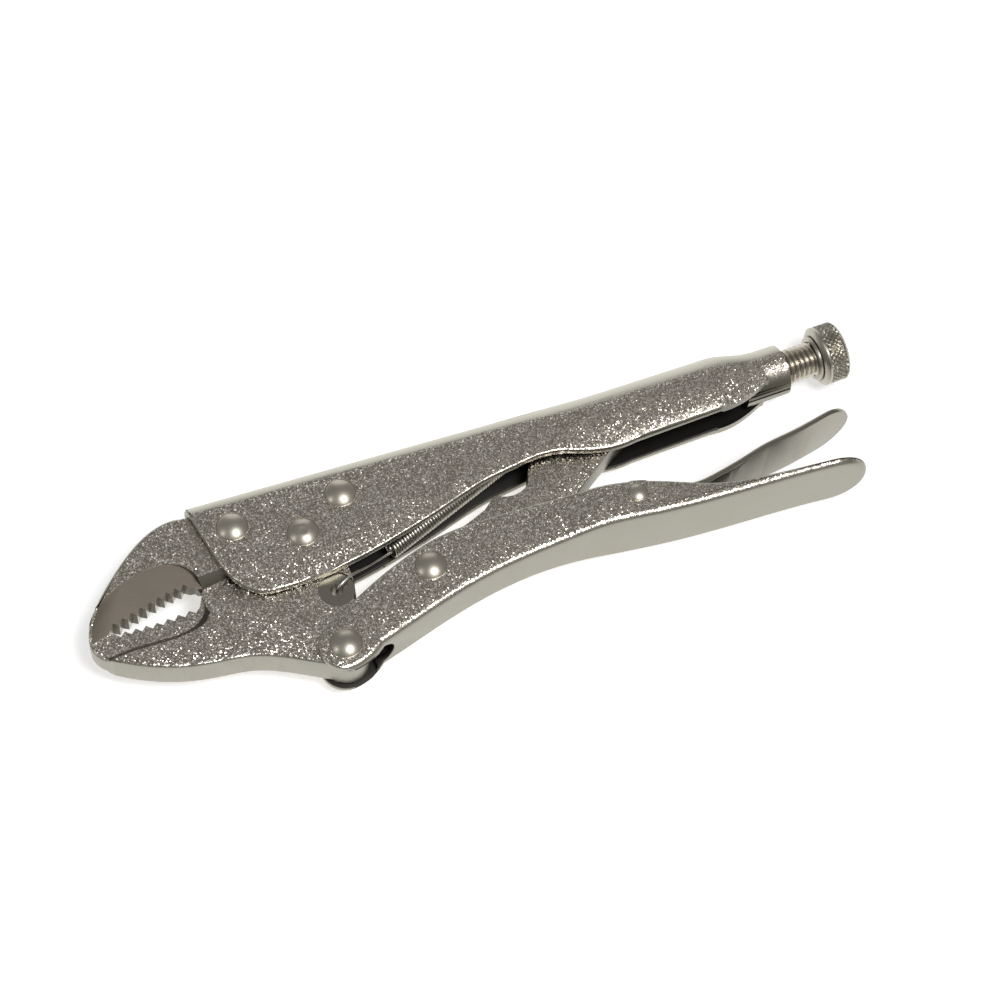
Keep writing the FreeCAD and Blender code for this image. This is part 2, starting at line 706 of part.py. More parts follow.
def make_release_lever():
    nose = size("lever_nose_x")
    tail = size("lever_tail_x")
    pivot = size("lever_pivot_x")
    wall = size("lever_sheet")
    half = size("lever_rear_half")
    top = [(66.0, -21.1), (80.0, -18.9), (pivot + 1.8, -19.2), (pivot + 10.8, -22.0),
           (pivot + 18.2, -23.3), (pivot + 23.2, -22.8), (pivot + 31.2, -21.6),
           (pivot + 39.2, -20.0), (tail - 18.5, -18.9), (tail - 10.5, -17.5), (tail - 3.5, -16.2),
           (tail, -15.7)]
    under = [(pivot + 23.2, -24.6), (pivot + 31.2, -23.3), (pivot + 39.2, -21.7),
             (tail - 18.5, -20.6), (tail - 10.5, -19.2), (tail - 3.5, -17.9), (tail, -17.4)]
    side = loop(
        (nose, -22.6),
        flow(*top),
        to(*under[-1]),
        flow(*reversed(under[:-1])),
        flow((pivot + 18.2, -25.4), (pivot + 12.0, -26.0), (pivot, -26.2)),
        flow((74.0, -25.6), (66.0, -24.9), (nose, -24.2)),
        to(nose, -22.6),
    )
    roof = [(x, y - wall) for x, y in [(nose - 10, -23.5), (nose, -22.6)] + top[:4]]
    roof_end = (pivot + 16.5, -22.9 - wall)
    hollow_side = loop(
        (nose - 10, -FAR - 10),
        to(*roof[0]),
        flow(*roof[1:]),
        to(*roof_end),
        to(pivot + 17.5, -FAR - 10),
        to(nose - 10, -FAR - 10),
    )
    widths = [(nose - 1, 4.7), (66.0, 5.3), (74.0, 6.5), (80.0, 7.0), (pivot + 6, 7.2),
              (pivot + 24, 7.4), (pivot + 34, between(7.4, half, 0.8)), (pivot + 42, half)]
    plan = plan_outline(nose - 5, widths, tail, half)
    hollow_plan = plan_outline(nose - 15, [(x, z - wall) for x, z in widths], tail, half - wall)
    shell = folded_sheet("lever", side, plan, hollow_side, hollow_plan, "lever_bend", shared_edge(1))
    finish(drilled(shell, "release_lever", [("lever_pivot_x", "lever_pivot_y", "small_rivet_radius")]),
           "release_lever")


# ---------------------------------------------------------------- rivets

def dome(radius, low, high):
    """An arc from the rim of a domed head to its crown, as a mid point and an end."""
    rise = high - low
    ball = (radius * radius + rise * rise) / (2 * rise)
    half_angle = math.asin(radius / ball) / 2
    middle = (ball * math.sin(half_angle), high - ball * (1 - math.cos(half_angle)))
    return middle, (0.0, high)


def make_rivet(label, grip, shank_cell, head_cell, dome_cell, x_cell, y_cell):
    """A rivet through the whole stack: shank, two flanges and two domed heads."""
    shank = size(shank_cell)
    head = size(head_cell)
    flange = grip + size("rivet_flange")
    crown = grip + size(dome_cell)
    step = head - 0.35
    middle, top = dome(step, flange, crown)
    outline = loop(
        (0.0, -crown),
        round_to((middle[0], -middle[1]), (step, -flange)),
        to(head, -flange),
        to(head, -grip),
        to(shank, -grip),
        to(shank, grip),
        to(head, grip),
        to(head, flange),
        to(step, flange),
        round_to(middle, top),
        to(0.0, -crown),
    )
    revolved(label, outline, "XZ_Plane", "V_Axis")
    places = {"x": f"dims.{x_cell}", "y": f"dims.{y_cell}"} if x_cell else {}
    finish(doc.getObject(f"{label}_body"), label, **places)


def revolved(label, outline, plane, axis):
    """A body turned about one of its sketch's own axes."""
    body = new_body(f"{label}_body")
    feature = body.newObject("PartDesign::Revolution", f"{label}_turning")
    feature.Profile = sketch_on(body, f"{label}_outline", outline, plane)
    feature.ReferenceAxis = (feature.Profile[0], [axis])
    feature.Angle = 360
    doc.recompute()
    return body


# ---------------------------------------------------------------- adjusting screw, knob and spring

def make_adjusting_screw():
    tip = size("link_tip_x") + 4.4 + size("screw_tip_gap")
    rear = size("socket_rear_x") + size("thread_shown") + size("knob_length") - 0.4
    radius = size("screw_radius")
    outline = loop((tip, 0), to(tip, radius - 1.4), to(tip + 1.2, radius), to(rear - 0.6, radius),
                   to(rear, radius - 0.6), to(rear, 0), to(tip, 0))
    finish(revolved("adjusting_screw", outline, "XY_Plane", "H_Axis"), "adjusting_screw",
           y="dims.screw_axis_y")


def make_adjusting_knob():
    front = size("socket_rear_x") + size("thread_shown")
    rear = front + size("knob_length")
    radius = size("knob_radius")
    bore = size("screw_radius") + size("running_clearance")
    collar = size("knob_collar")
    outline = loop(
        (front - collar, bore),
        to(front - collar, bore + 0.9),
        to(front, bore + 1.3),
        to(front, radius - 1.4),
        to(front + 1.2, radius),
        to(rear - 0.9, radius),
        to(rear, radius - 0.9),
        to(rear, bore),
        to(front - collar, bore),
    )
    finish(revolved("adjusting_knob", outline, "XY_Plane", "H_Axis"), "adjusting_knob",
           y="dims.screw_axis_y")


def rod(name, start, end, radius, extra=0.0):
    """A round rod between two points of the plane Z = 0."""
    solid = doc.addObject("Part::Cylinder", name)
    direction = Vector(*end, 0) - Vector(*start, 0)
    solid.Radius = radius
    solid.Height = direction.Length + extra
    solid.Placement = Placement(Vector(*start, 0), Rotation(Vector(0, 0, 1), direction))
    doc.recompute()
    return solid


def make_tension_spring():
    """The coil as one tube with closed ends, and its two straight hook wires."""
    jaw_edge = size("spring_hole_x") + size("boss_radius")
    start = (jaw_edge + 1.0, -14.2)
    end = (size("tab_x") - 0.3, size("screw_axis_y") + 4.0)
    coil = size("spring_radius")
    wire = size("spring_wire")

    def along(share):
        return between(start[0], end[0], share), between(start[1], end[1], share)

    outer = rod("spring_outside", along(0.19), along(0.84), coil)
    inner = rod("spring_inside", along(0.205), along(0.825), coil - wire)
    hooks = rod("spring_hook_front", start, along(0.2), wire / 2)
    tail = rod("spring_hook_rear", along(0.83), end, wire / 2)
    coil_shell = combine("Cut", "spring_coil", outer, inner)
    with_front = combine("Fuse", "spring_with_front", coil_shell, hooks)
    finish(combine("Fuse", "spring_whole", with_front, tail), "tension_spring")


make_upper_handle()
make_upper_jaw()
make_lower_jaw()
make_lower_handle()
make_toggle_link()
make_release_lever()
big = ("rivet_radius", "rivet_head_radius", "rivet_dome")
make_rivet("jaw_pivot_rivet", UPPER_HALF, *big, None, None)
make_rivet("front_jaw_rivet", UPPER_HALF, *big, "front_rivet_x", "front_rivet_y")
make_rivet("rear_jaw_rivet", UPPER_HALF, *big, "rear_rivet_x", "rear_rivet_y")
make_rivet("handle_pivot_rivet", LOWER_HALF, *big, "handle_pivot_x", "handle_pivot_y")
make_rivet("link_pivot_rivet", LOWER_HALF, *big, "link_pivot_x", "link_pivot_y")
make_rivet("release_lever_rivet", size("lower_rear_half"), "small_rivet_radius",
           "small_head_radius", "small_dome", "lever_pivot_x", "lever_pivot_y")
make_adjusting_screw()
make_adjusting_knob()
make_tension_spring()


def check_built():
    """Stops the build if any object failed or any sub-part isn't one sound solid."""
    failed = [item.Name for item in doc.Objects if {"Invalid", "Error"} & set(item.State)]
    if failed:
        raise RuntimeError(f"these objects failed: {failed}")
    for item in sub_parts:
        if item.Shape.isNull() or not item.Shape.isValid():
            raise RuntimeError(f"{item.Label} has no sound shape")
        if len(item.Shape.Solids) != 1:
            raise RuntimeError(f"{item.Label} isn't one solid")


doc.recompute()
check_built()

# the origin goes under the middle of the finished tool, on the surface that it lies on
whole = FreeCAD.BoundBox()
for item in sub_parts:
    whole.add(item.Shape.optimalBoundingBox(False))
sheet.set(sheet.getCellFromAlias("shift_x"), str(round(-whole.Center.x, 4)))
sheet.set(sheet.getCellFromAlias("shift_y"), str(round(-whole.Center.y, 4)))
sheet.set(sheet.getCellFromAlias("shift_z"), str(round(-whole.ZMin, 4)))
doc.recompute()

check_built()

os.makedirs("parts", exist_ok=True)
for item in sub_parts:
    item.Shape.exportStep(f"parts/{item.Label}.step")
    box = item.Shape.optimalBoundingBox(False)
    print(f"{item.Label:22s} {box.XMin:8.2f} {box.XMax:8.2f} {box.YMin:8.2f} {box.YMax:8.2f}"
          f" {box.ZMin:7.2f} {box.ZMax:7.2f} volume {item.Shape.Volume:9.1f}")
print("shift", size("shift_x"), size("shift_y"), size("shift_z"))
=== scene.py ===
import math

import bmesh
import bpy
from mathutils import Matrix, Vector
from mathutils.bvhtree import BVHTree


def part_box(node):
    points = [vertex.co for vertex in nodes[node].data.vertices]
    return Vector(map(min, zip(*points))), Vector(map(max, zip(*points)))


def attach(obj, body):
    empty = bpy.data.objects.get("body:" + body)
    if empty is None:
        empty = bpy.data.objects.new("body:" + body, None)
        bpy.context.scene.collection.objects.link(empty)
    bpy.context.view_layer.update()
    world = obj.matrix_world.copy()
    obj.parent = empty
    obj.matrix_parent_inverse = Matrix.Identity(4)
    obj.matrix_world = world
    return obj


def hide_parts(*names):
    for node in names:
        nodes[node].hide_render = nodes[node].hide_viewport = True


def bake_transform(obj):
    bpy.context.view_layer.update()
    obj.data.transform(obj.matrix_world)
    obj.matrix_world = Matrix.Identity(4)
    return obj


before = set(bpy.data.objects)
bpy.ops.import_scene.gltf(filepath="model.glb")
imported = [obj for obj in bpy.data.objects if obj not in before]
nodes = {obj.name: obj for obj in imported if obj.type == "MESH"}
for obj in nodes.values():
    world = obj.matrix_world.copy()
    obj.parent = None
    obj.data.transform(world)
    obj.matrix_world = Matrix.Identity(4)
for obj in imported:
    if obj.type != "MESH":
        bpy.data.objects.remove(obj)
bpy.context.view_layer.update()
mm = 0.001


def middleOf(node):
    low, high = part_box(node)
    return (low + high) / 2


jawPivot = middleOf("jaw_pivot_rivet")
print("frame loaded")


# The camera looks down on the tool from the jaw end.

cameraSetup = {
    "fromPivot": Vector((-108.7, -321.8, 636.0)) * mm,
    "sensor": 36,
    "right": Vector((0.9221, -0.3843, 0.0454)),
    "up": Vector((0.3159, 0.8152, 0.4854)),
    "lens": 97.2,
}


def addCamera(setup):
    data = bpy.data.cameras.new("viewCamera")
    data.lens = setup["lens"]
    data.sensor_width = setup["sensor"]
    data.clip_start = 0.01
    camera = bpy.data.objects.new("viewCamera", data)
    bpy.context.scene.collection.objects.link(camera)
    right = setup["right"].normalized()
    back = right.cross(setup["up"]).normalized()
    up = back.cross(right)
    turn = Matrix((right, up, back)).transposed()
    camera.matrix_world = Matrix.Translation(jawPivot + setup["fromPivot"]) @ turn.to_4x4()
    bpy.context.scene.camera = camera


addCamera(cameraSetup)
print("camera placed")


# Materials: a value wrapper turns expressions into Math nodes.

class Value:
    def __init__(self, shader, socket):
        self.shader = shader
        self.socket = socket

    def __add__(self, other):
        return self.shader.math("ADD", self, other)

    def __radd__(self, other):
        return self.shader.math("ADD", other, self)

    def __sub__(self, other):
        return self.shader.math("SUBTRACT", self, other)

    def __rsub__(self, other):
        return self.shader.math("SUBTRACT", other, self)

    def __mul__(self, other):
        return self.shader.math("MULTIPLY", self, other)

    def __rmul__(self, other):
        return self.shader.math("MULTIPLY", other, self)


class Shader:
    def __init__(self, name):
        self.material = bpy.data.materials.new(name)
        self.material.use_nodes = True
        self.tree = self.material.node_tree
        self.tree.nodes.clear()

    def node(self, kind, settings=None, **inputs):
        made = self.tree.nodes.new("ShaderNode" + kind)
        for key, setting in (settings or {}).items():
            setattr(made, key, setting)
        for key, given in inputs.items():  # i0, i1 and so on give a socket's number
            name = int(key[1:]) if key[1:].isdigit() else key.replace("_", " ")
            self.feed(made.inputs[name], given)
        return made

    def feed(self, socket, given):
        if isinstance(given, Value):
            self.tree.links.new(given.socket, socket)
        elif isinstance(given, bpy.types.NodeSocket):
            self.tree.links.new(given, socket)
        else:
            socket.default_value = given

    def math(self, operation, first, second=0.0):
        made = self.node("Math", {"operation": operation}, i0=first, i1=second)
        return Value(self, made.outputs[0])

    def fade(self, value, low, high):
        made = self.node("MapRange", {"interpolation_type": "SMOOTHSTEP"}, Value=value, From_Min=low,
                         From_Max=high)
        return Value(self, made.outputs[0])

    def mix(self, factor, first, second):
        made = self.node("Mix", {"data_type": "RGBA"}, Factor=factor, i6=first, i7=second)
        return made.outputs[2]

    def vector(self, operation, first, second):
        made = self.node("VectorMath", {"operation": operation}, i0=first, i1=second)
        return made.outputs["Vector"]

    def scaled(self, vector, factor):
        made = self.node("VectorMath", {"operation": "SCALE"}, i0=vector, Scale=factor)
        return made.outputs["Vector"]

    def noise(self, scale, detail=2.0, roughness=0.5):
        made = self.node("TexNoise", None, Vector=self.place(), Scale=scale, Detail=detail,
                         Roughness=roughness)
        return Value(self, made.outputs["Fac"])

    def place(self):
        return self.node("TexCoord").outputs["Object"]

    def facing(self, axis):
        normal = self.node("TexCoord").outputs["Normal"]
        parts = self.node("SeparateXYZ", None, Vector=normal)
        return Value(self, parts.outputs[axis])

    def finish(self, **inputs):
        shader = self.node("BsdfPrincipled", None, **inputs)
        output = self.node("OutputMaterial")
        self.tree.links.new(shader.outputs[0], output.inputs[0])
        return self.material


blastedNickelPaintedLight = {
    "dark": (0.46, 0.41, 0.345, 1),
    # light is near-white, for painted glints on the brightest grain cells.
    "light": (1.0, 0.94, 0.86, 1),
    # side is a darker painted shade for side faces and webs; shoulder is a lighter painted sheen for
    # faces turned towards +Y.
    "side": (0.35, 0.335, 0.285, 1),
    "shoulder": (0.60, 0.58, 0.50, 1),
    "grain": 1 / (0.29 * mm),
    "clumps": 1 / (0.9 * mm),
    "patches": 1 / (9 * mm),
    "tilt": 0.56,
    "smoothTilt": 0.015,
    "roughness": 0.2,
    "turnedRange": (0.08, 0.34),
    "bentRange": (0.05, 0.3),
    "flatRange": (0.62, 0.95),
    "grainGlintRange": (0.74, 1.06),
}


def grainNormal(shader, scale, tilt):
    cells = shader.node("TexVoronoi", {"feature": "F1"}, Vector=shader.place(), Scale=scale,
                        Randomness=1.0)
    lean = shader.vector("SUBTRACT", cells.outputs["Color"], (0.5, 0.5, 0.5))
    normal = shader.node("NewGeometry").outputs["Normal"]
    tilted = shader.vector("ADD", normal, shader.scaled(lean, tilt))
    return shader.vector("NORMALIZE", tilted, (0, 0, 0)), cells


# Flats carry a grain, and bends and side faces are smooth. In colour, side faces get a darker painted
# shade, faces turned towards +Y a lighter painted sheen, and the flats' grain cells carry painted glints.

def makeBlastedNickelPaintedLight(name, finish):
    shader = Shader(name)
    upness = shader.math("ABSOLUTE", shader.facing("Z"))
    turned = shader.fade(shader.facing("Y"), *finish["turnedRange"])
    bent = shader.fade(shader.facing("Y") * -1, *finish["bentRange"])
    flat = shader.fade(upness, *finish["flatRange"]) * (1 - turned)
    patches = shader.noise(finish["patches"], 2.0, 0.5)
    tilt = flat * (patches * 0.3 + 0.75) * (1 - bent * 0.5) * finish["tilt"] + finish["smoothTilt"]
    normal, cells = grainNormal(shader, finish["grain"], tilt)
    # Grain tone varies at random, and the brightest cells are pushed up to near-white painted glints.
    speck = shader.node("SeparateXYZ", None, Vector=cells.outputs["Color"]).outputs[0]
    tone = shader.math("ADD", shader.noise(finish["clumps"], 3.0, 0.6) * 0.5, speck)
    grainWithGlints = shader.mix(shader.fade(tone, *finish["grainGlintRange"]), finish["dark"], finish["light"])
    # Painted shade and sheen by facing: side faces darker, faces turned towards +Y lighter; only the
    # flats keep their grain colour.
    side = shader.mix(turned, finish["side"], finish["shoulder"])
    colour = shader.mix(flat, side, grainWithGlints)
    rough = finish["roughness"] + 0.06 * patches + 0.16 * (1 - flat)
    return shader.finish(Base_Color=colour, Metallic=1.0, Roughness=rough, Normal=normal)


def makeSmoothNickel(name, colour, roughness, wear):
    shader = Shader(name)
    clouds = shader.noise(1 / (6 * mm), 4.0, 0.55)
    fine = shader.noise(1 / (0.5 * mm), 3.0, 0.6)
    shade = shader.mix(clouds * 0.5 + fine * 0.4, tuple(c * wear for c in colour[:3]) + (1,), colour)
    bump = shader.node("Bump", None, Strength=0.25, Distance=0.00006, Height=fine)
    rough = roughness + 0.1 * clouds + 0.05 * fine
    return shader.finish(Base_Color=shade, Metallic=1.0, Roughness=rough, Normal=bump.outputs[0])


def makeBroachedSteelFacingShade(name, dark, light, roughness):
    shader = Shader(name)
    # Painted light and shade: faces turned towards +X are painted light, and faces turned towards -X
    # dark.
    lean = shader.fade(shader.facing("X"), -0.35, 0.35)
    fine = shader.noise(1 / (0.4 * mm), 3.0, 0.6)
    colour = shader.mix(lean * 0.85 + fine * 0.15, dark, light)
    return shader.finish(Base_Color=colour, Metallic=1.0, Roughness=roughness + 0.1 * fine)


def makeWire(name):
    shader = Shader(name)
    clouds = shader.noise(1 / (3 * mm), 3.0, 0.55)
    shade = shader.mix(clouds, (0.55, 0.53, 0.48, 1), (0.78, 0.75, 0.69, 1))
    return shader.finish(Base_Color=shade, Metallic=1.0, Roughness=0.25 + 0.15 * clouds)


handleFinish = makeBlastedNickelPaintedLight("blastedHandle", blastedNickelPaintedLight)
jawFinish = makeBlastedNickelPaintedLight("blastedJaw", blastedNickelPaintedLight)
linkFinish = makeBlastedNickelPaintedLight("blastedLink", blastedNickelPaintedLight)
leverFinish = makeSmoothNickel("smoothLever", (0.34, 0.32, 0.265, 1), 0.22, 0.86)
rivetFinish = makeSmoothNickel("polishedRivet", (0.56, 0.52, 0.445, 1), 0.3, 0.88)
screwFinish = makeSmoothNickel("brightScrew", (0.56, 0.52, 0.445, 1), 0.2, 0.86)
knobFinish = makeSmoothNickel("brightKnob", (0.50, 0.475, 0.41, 1), 0.24, 0.86)
# Near-black painted shade for the faces inside the handles' channels.
paintedInsideShade = makeSmoothNickel("shadedInside", (0.07, 0.065, 0.06, 1), 0.5, 0.7)
reliefFinish = makeSmoothNickel("groundRelief", (0.19, 0.165, 0.135, 1), 0.34, 0.8)
# The teeth get painted light and shade by facing.
toothFacingShade = makeBroachedSteelFacingShade("broachedTeethFacingShade", (0.10, 0.09, 0.075, 1), (0.62, 0.58, 0.50, 1), 0.25)
wireFinish = makeWire("springSteel")
print("materials made")

finishes = {
    "upper_handle": handleFinish,
    "lower_handle": handleFinish,
    "upper_jaw": jawFinish,
    "lower_jaw": jawFinish,
    "toggle_link": linkFinish,
    "release_lever": leverFinish,
    "jaw_pivot_rivet": rivetFinish,
    "front_jaw_rivet": rivetFinish,
    "rear_jaw_rivet": rivetFinish,
    "handle_pivot_rivet": rivetFinish,
    "link_pivot_rivet": rivetFinish,
    "release_lever_rivet": rivetFinish,
    "adjusting_screw": screwFinish,
    "adjusting_knob": knobFinish,
    "tension_spring": wireFinish,
}
for nodeName, finish in finishes.items():
    data = nodes[nodeName].data
    data.materials.clear()
    data.materials.append(finish)
print("CAD pieces painted")


# Small tools for making pieces.

mergeGap = 0.002 * mm


def deselectAll():
    if bpy.context.object and bpy.context.object.mode == "EDIT":
        bpy.ops.object.mode_set(mode="OBJECT")
    bpy.ops.object.select_all(action="DESELECT")


def activate(piece):
    deselectAll()
    piece.select_set(True)
    bpy.context.view_layer.objects.active = piece


def editAll(piece):
    activate(piece)
    bpy.ops.object.mode_set(mode="EDIT")
    bpy.ops.mesh.select_all(action="SELECT")


def applyModifier(piece, kind, **settings):
    activate(piece)
    modifier = piece.modifiers.new(kind.lower(), kind)
    for key, setting in settings.items():
        setattr(modifier, key, setting)
    bpy.ops.object.modifier_apply(modifier=modifier.name)


def place(piece, matrix):
    piece.data.transform(matrix)
    piece.data.update()


def tidySurface(piece, angle):
    editAll(piece)
    bpy.ops.mesh.remove_doubles(threshold=mergeGap)
    bpy.ops.mesh.normals_make_consistent(inside=False)
    bpy.ops.object.mode_set(mode="OBJECT")
    bpy.ops.object.shade_smooth_by_angle(angle=math.radians(angle))


def local(x, y, z=0.0):
    return jawPivot + Vector((x, y, z)) * mm


# Plates: merged copies of the plates with their rims rounded over.

# Places are in millimetres from the jaw pivot.

plateMarks = {
    "bossCentre": (2.7, -17.8),
    "bossRadius": 5.6,
    "mouthRange": ((-57.5, -29.5), (-11.2, 0.2)),
    "mouthMiddle": (-45, -6),
    "coveRange": ((-59, -29.7), (-17.5, -6), (3.4, 4.6)),
    "rivetReach": 4.6,
    "socketFront": 115,
    "upperJawRear": -28,
    "lowerJawTop": -10.5,
    "sharpAngle": 38,
    "bossDepth": 4.5,
    "smallestRelief": 4,  # square millimetres
}

plateRims = {
    "upper_handle": {"width": 0.7, "body": "fixed_handle", "slot": "handle_plate"},
    "lower_handle": {"width": 0.7, "body": "swinging_handle", "slot": "handle_plate"},
    "upper_jaw": {"width": 0.9, "body": "fixed_handle", "slot": "jaw_plate"},
    "lower_jaw": {"width": 0.9, "body": "swinging_jaw", "slot": "jaw_plate"},
    "toggle_link": {"width": 0.6, "body": "link", "slot": "link_plate"},
    "release_lever": {"width": 0.45, "body": "lever", "slot": "lever_plate"},
}


def within(values, ranges):
    return all(low < value < high for value, (low, high) in zip(values, ranges))


def atBoss(point):
    return (point - local(*plateMarks["bossCentre"])).xy.length < plateMarks["bossRadius"] * mm


def isFine(point):
    spot = (point - jawPivot) / mm
    return within(spot, plateMarks["mouthRange"]) or atBoss(point)


rivetSpots = [middleOf(name) for name in nodes if name.endswith("_rivet")]


def isRim(node, edge):
    # True on the edges to round over: none at a hole, in the mouth, at the boss or at the socket.
    if len(edge.link_faces) != 2 or edge.calc_face_angle() < math.radians(plateMarks["sharpAngle"]):
        return False
    middle = (edge.verts[0].co + edge.verts[1].co) / 2
    spot = (middle - jawPivot) / mm
    reach = plateMarks["rivetReach"] * mm
    if isFine(middle) or any((middle - rivet).xy.length < reach for rivet in rivetSpots):
        return False
    if node == "upper_handle":
        return spot.x < plateMarks["socketFront"]
    if node == "upper_jaw" and spot.x > plateMarks["upperJawRear"]:
        return False
    if node == "lower_jaw" and spot.y > plateMarks["lowerJawTop"]:
        return False
    if node.endswith("_jaw"):
        outwards = middle - local(*plateMarks["mouthMiddle"])
        walls = [face for face in edge.link_faces if abs(face.normal.z) < 0.1]
        return len(walls) == 1 and walls[0].normal.dot(outwards) > 0
    return True


def inCove(point):
    spot = (point - jawPivot) / mm
    return within((spot.x, spot.y, abs(spot.z)), plateMarks["coveRange"])


def isEnclosed(tree, face):
    # True where walls of the same piece stand on both sides, as inside a channel or a bore.
    middle = face.calc_center_median()
    walled = 0
    for vertex in face.verts:
        spot = vertex.co.lerp(middle, 0.2) + face.normal * 0.3 * mm
        ends = [tree.ray_cast(spot, Vector((0, 0, side)))[0] for side in (1, -1)]
        walled += all(end is not None for end in ends)
    return walled * 2 > len(face.verts)


faceFinishes = {"inside": paintedInsideShade, "relief": reliefFinish, "teeth": toothFacingShade}


def finishOf(tree, node, face):
    middle = face.calc_center_median()
    depth = abs(middle.z - jawPivot.z) / mm
    tilt = abs(face.normal.z)
    # Faces walled in on both sides get the near-black painted shade.
    if node.endswith("_handle") and isEnclosed(tree, face):
        return "inside"
    if node.endswith("_jaw") and isFine(middle) and tilt < 0.5:
        return "teeth"
    # The boss's floor takes the same painted light and shade by facing.
    if node == "lower_jaw" and atBoss(middle) and depth < plateMarks["bossDepth"]:
        return "teeth"
    isLarge = face.calc_area() > plateMarks["smallestRelief"] * mm * mm
    if node == "upper_jaw" and 0.9 < tilt < 0.99 and isLarge:
        return "relief"
    if node == "lower_jaw" and 0.5 < tilt < 0.9 and inCove(middle):
        return "relief"
    return None


def paintFaces(piece, node):
    shape = bmesh.new()
    shape.from_mesh(piece.data)
    tree = BVHTree.FromBMesh(shape)
    order = list(faceFinishes)
    for face in shape.faces:
        chosen = finishOf(tree, node, face)
        if chosen:
            face.material_index = order.index(chosen) + 1  # 0 is the plate's own finish
    shape.to_mesh(piece.data)
    shape.free()
    for finish in faceFinishes.values():
        piece.data.materials.append(finish)


def roundedPlate(node, look):
    source = nodes[node]
    piece = bpy.data.objects.new(node + "_rounded", source.data.copy())
    bpy.context.scene.collection.objects.link(piece)
    editAll(piece)
    bpy.ops.mesh.remove_doubles(threshold=1.5 * mergeGap)
    bpy.ops.mesh.dissolve_limited(angle_limit=math.radians(0.6), delimit=set())
    bpy.ops.object.mode_set(mode="OBJECT")
    shape = bmesh.new()
    shape.from_mesh(piece.data)
    weights = shape.edges.layers.float.new("bevel_weight_edge")
    for edge in shape.edges:
        edge[weights] = 1.0 if isRim(node, edge) else 0.0
    shape.to_mesh(piece.data)
    shape.free()
    # Wide rims cross tiny edges, and the clamp would shrink them to nothing.
    applyModifier(piece, "BEVEL", width=look["width"] * mm, segments=4, limit_method="WEIGHT",
                  use_clamp_overlap=look["width"] < 0.65, harden_normals=False, miter_outer="MITER_ARC")
    editAll(piece)
    bpy.ops.mesh.remove_doubles(threshold=mergeGap)
    bpy.ops.mesh.select_all(action="DESELECT")
    bpy.ops.mesh.select_non_manifold(extend=False)
    bpy.ops.mesh.fill_holes(sides=0)
    bpy.ops.object.mode_set(mode="OBJECT")
    paintFaces(piece, node)
    activate(piece)
    bpy.ops.mesh.customdata_custom_splitnormals_clear()
    bpy.ops.object.shade_smooth_by_angle(angle=math.radians(30))
    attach(piece, look["body"])
    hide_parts(node)


for plateName, plateLook in plateRims.items():
    roundedPlate(plateName, plateLook)
print("plates rounded")


# Rivets: turned heads with a groove round the dome, and a dimple in the jaw pivot.

rivetLook = {
    "flange": 0.35,
    "step": 0.35,
    "groove": 0.16,
    "steps": 96,
    "rings": 14,
    "creaseAngle": 32,
    "rivets": {
        # body, half the grip, shank radius, depth and radius of the dimple
        "jaw_pivot_rivet": ("fixed_handle", 7.3, 3.0, 0.28, 1.7),
        "front_jaw_rivet": ("fixed_handle", 7.3, 3.0, 0.0, 1.0),
        "rear_jaw_rivet": ("fixed_handle", 7.3, 3.0, 0.0, 1.0),
        "handle_pivot_rivet": ("swinging_handle", 7.0, 3.0, 0.0, 1.0),
        "link_pivot_rivet": ("swinging_handle", 7.0, 3.0, 0.0, 1.0),
        "release_lever_rivet": ("swinging_handle", 10.0, 1.7, 0.0, 1.0),
    },
}


def makeRivet(node, look):
    body, grip, shank, dimple, dimpleRadius = look["rivets"][node]
    low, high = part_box(node)
    head = (high.x - low.x) / 2 / mm
    crown = (high.z - low.z) / 2 / mm
    foot = grip + look["flange"]
    step = head - look["step"]
    rise = crown - foot
    ball = (step * step + rise * rise) / (2 * rise)
    half = [(shank, 0.0), (shank, grip), (head, grip), (head, foot - 0.1), (head - 0.06, foot - 0.03),
            (head - 0.15, foot), (step + 0.08, foot - look["groove"]), (step, foot - look["groove"]),
            (step - 0.04, foot)]
    for ring in range(1, look["rings"]):
        radius = step * math.cos(math.pi / 2 * ring / look["rings"])
        dip = dimple * max(0, 1 - (radius / dimpleRadius) ** 2) ** 2
        half.append((radius, crown - ball + math.sqrt(ball * ball - radius * radius) - dip))
    half.append((0.0, crown - dimple))
    outline = [(radius, -z) for radius, z in reversed(half[1:])] + half
    mesh = bpy.data.meshes.new(node + "_turned")
    mesh.from_pydata([(radius * mm, 0, z * mm) for radius, z in outline],
                     [(i, i + 1) for i in range(len(outline) - 1)], [])
    piece = bpy.data.objects.new(node + "_turned", mesh)
    bpy.context.scene.collection.objects.link(piece)
    editAll(piece)
    bpy.ops.mesh.spin(steps=look["steps"], angle=2 * math.pi, center=(0, 0, 0), axis=(0, 0, 1),
                      use_auto_merge=True)
    bpy.ops.object.mode_set(mode="OBJECT")
    place(piece, Matrix.Translation((low + high) / 2))
    tidySurface(piece, look["creaseAngle"])
    piece.data.materials.append(rivetFinish)
    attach(piece, body)
    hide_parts(node)


for rivetName in rivetLook["rivets"]:
    makeRivet(rivetName, rivetLook)
print("rivets turned")


# Adjusting screw: a rolled thread with a right-hand helix.

screwLook = {
    "pitch": 1.5,
    "rootRadius": 4.0,
    "crestRadius": 4.98,
    "crestEase": 0.08,
    "steps": 48,
    "creaseAngle": 28,
}


